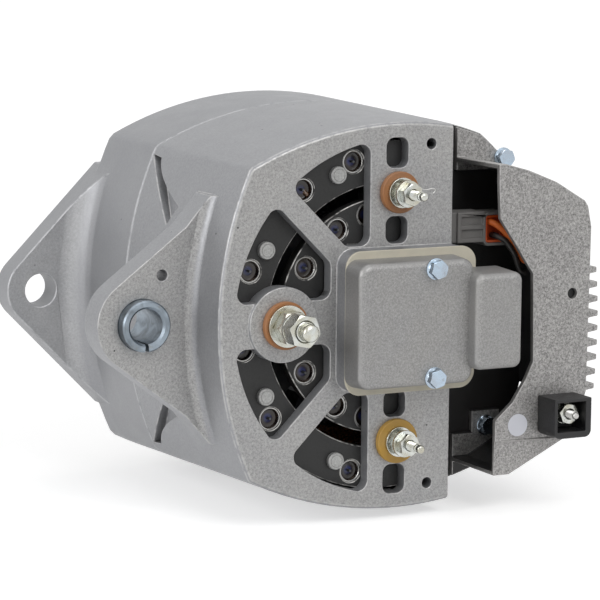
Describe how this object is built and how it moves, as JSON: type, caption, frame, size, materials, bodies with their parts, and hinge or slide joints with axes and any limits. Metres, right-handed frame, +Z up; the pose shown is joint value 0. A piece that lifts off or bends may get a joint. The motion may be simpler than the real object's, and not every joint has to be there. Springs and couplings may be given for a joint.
{
  "type": "alternator",
  "caption": "Heavy-duty hinge-mount vehicle alternator: ribbed cast housings with vent windows, claw-pole rotor, rectifier, brush gear and a finned regulator housing.",
  "frame": {"origin": "on the shaft axis, at the shoulder where a pulley seats on the shaft", "axes": "+Y along the shaft towards the drive end, +Z up with the hinge ears level at -X"},
  "size_m": [0.251, 0.291, 0.197],
  "materials": {
    "cast_rear": "sand-grained die-cast aluminium",
    "cast_front": "smooth die-cast aluminium",
    "cast_cover": "die-cast aluminium",
    "cast_regulator": "grained die-cast aluminium",
    "zinc_blue": "bright blue-zinc plated steel",
    "zinc_yellow": "pale yellow zinc plated steel",
    "steel": "machined steel",
    "lamination": "stacked laminations",
    "pole_steel": "forged steel, dark",
    "enamel_copper": "enamelled copper wire, varnished",
    "slip_copper": "copper alloy slip ring",
    "rectifier_black": "black painted aluminium, machined rims",
    "diode_blue": "blue potting in a steel cup",
    "phenolic_brown": "copper-brown phenolic",
    "fibre_yellow": "yellow fibre",
    "gasket_cream": "cream gasket sheet",
    "moulded_black": "black moulded plastic",
    "moulded_grey": "grey connector plastic",
    "silicone_orange": "orange seal",
    "lead_orange": "orange insulated wire",
    "carbon": "carbon-copper brush",
    "fan_steel": "pressed and coated fan",
    "label_white": "white disc"
  },
  "bodies": {
    "housing": {"rear_housing": "cast_rear", "front_housing": "cast_front", "through_bolts": "zinc_blue", "stator_core": "lamination", "stator_windings": "enamel_copper", "front_bearing_outer_ring": "steel", "rear_bearing_outer_ring": "steel", "bearing_retainer": "steel", "retainer_screws": "zinc_blue", "outer_rectifier_plate": "rectifier_black", "inner_rectifier_plate": "rectifier_black", "outer_diodes": "diode_blue", "inner_diodes": "diode_blue", "rectifier_bolts": "steel", "inner_plate_insulators": "phenolic_brown", "outer_plate_bolts": "steel", "outer_plate_nuts": "steel", "output_stud": "zinc_yellow", "output_insulator": "phenolic_brown", "output_washers": "zinc_yellow", "output_nuts": "zinc_yellow", "upper_terminal_insulator": "phenolic_brown", "lower_terminal_insulator": "fibre_yellow", "terminal_studs": "zinc_yellow", "terminal_washers": "zinc_yellow", "terminal_nuts": "zinc_yellow", "cover_gasket": "gasket_cream", "brush_cover": "cast_cover", "cover_screws": "zinc_blue", "brush_holder": "moulded_black", "rear_brush_spring": "steel", "front_brush_spring": "steel", "regulator_housing": "cast_regulator", "flange_screws": "zinc_blue", "regulator_module": "moulded_black", "connector_plug": "moulded_grey", "connector_seal": "silicone_orange", "signal_leads": "lead_orange", "terminal_shroud": "moulded_black", "shroud_stud": "steel", "shroud_nut": "zinc_yellow", "label_disc": "label_white"},
    "rotor": {"rotor_shaft": "steel", "rotor_core": "pole_steel", "rear_pole_half": "pole_steel", "front_pole_half": "pole_steel", "field_coil": "enamel_copper", "slip_ring_hub": "moulded_black", "slip_rings": "slip_copper", "front_bearing_inner_ring": "steel", "rear_bearing_inner_ring": "steel", "fan_spacer": "steel", "fan": "fan_steel"},
    "front_ball_set": {"front_bearing_balls": "steel", "front_bearing_cage": "fibre_yellow"},
    "rear_ball_set": {"rear_bearing_balls": "steel", "rear_bearing_cage": "fibre_yellow"},
    "bushing": {"hinge_bushing": "zinc_blue"},
    "rear_brush_body": {"rear_brush": "carbon"},
    "front_brush_body": {"front_brush": "carbon"}
  },
  "joints": [
    {"name": "rotor_spin", "type": "hinge", "parent": "housing", "child": "rotor", "pos_m": [0, 0, 0], "axis": [0, 1, 0], "continuous": true},
    {"name": "front_balls_roll", "type": "hinge", "parent": "housing", "child": "front_ball_set", "pos_m": [0, 0, 0], "axis": [0, 1, 0], "continuous": true},
    {"name": "rear_balls_roll", "type": "hinge", "parent": "housing", "child": "rear_ball_set", "pos_m": [0, 0, 0], "axis": [0, 1, 0], "continuous": true},
    {"name": "bushing_slide", "type": "slide", "parent": "housing", "child": "bushing", "axis": [0, 1, 0], "range_m": [-0.003, 0.006]},
    {"name": "rear_brush_slide", "type": "slide", "parent": "housing", "child": "rear_brush_body", "axis": [1, 0, 0], "range_m": [0, 0.003], "stiffness_N_per_m": 150, "springref_m": -0.01, "deforming": ["rear_brush_spring"]},
    {"name": "front_brush_slide", "type": "slide", "parent": "housing", "child": "front_brush_body", "axis": [1, 0, 0], "range_m": [0, 0.003], "stiffness_N_per_m": 150, "springref_m": -0.01, "deforming": ["front_brush_spring"]}
  ],
  "couplings": [
    {"joint": "front_balls_roll", "follows": "rotor_spin", "ratio": 0.3736},
    {"joint": "rear_balls_roll", "follows": "rotor_spin", "ratio": 0.3842}
  ]
}
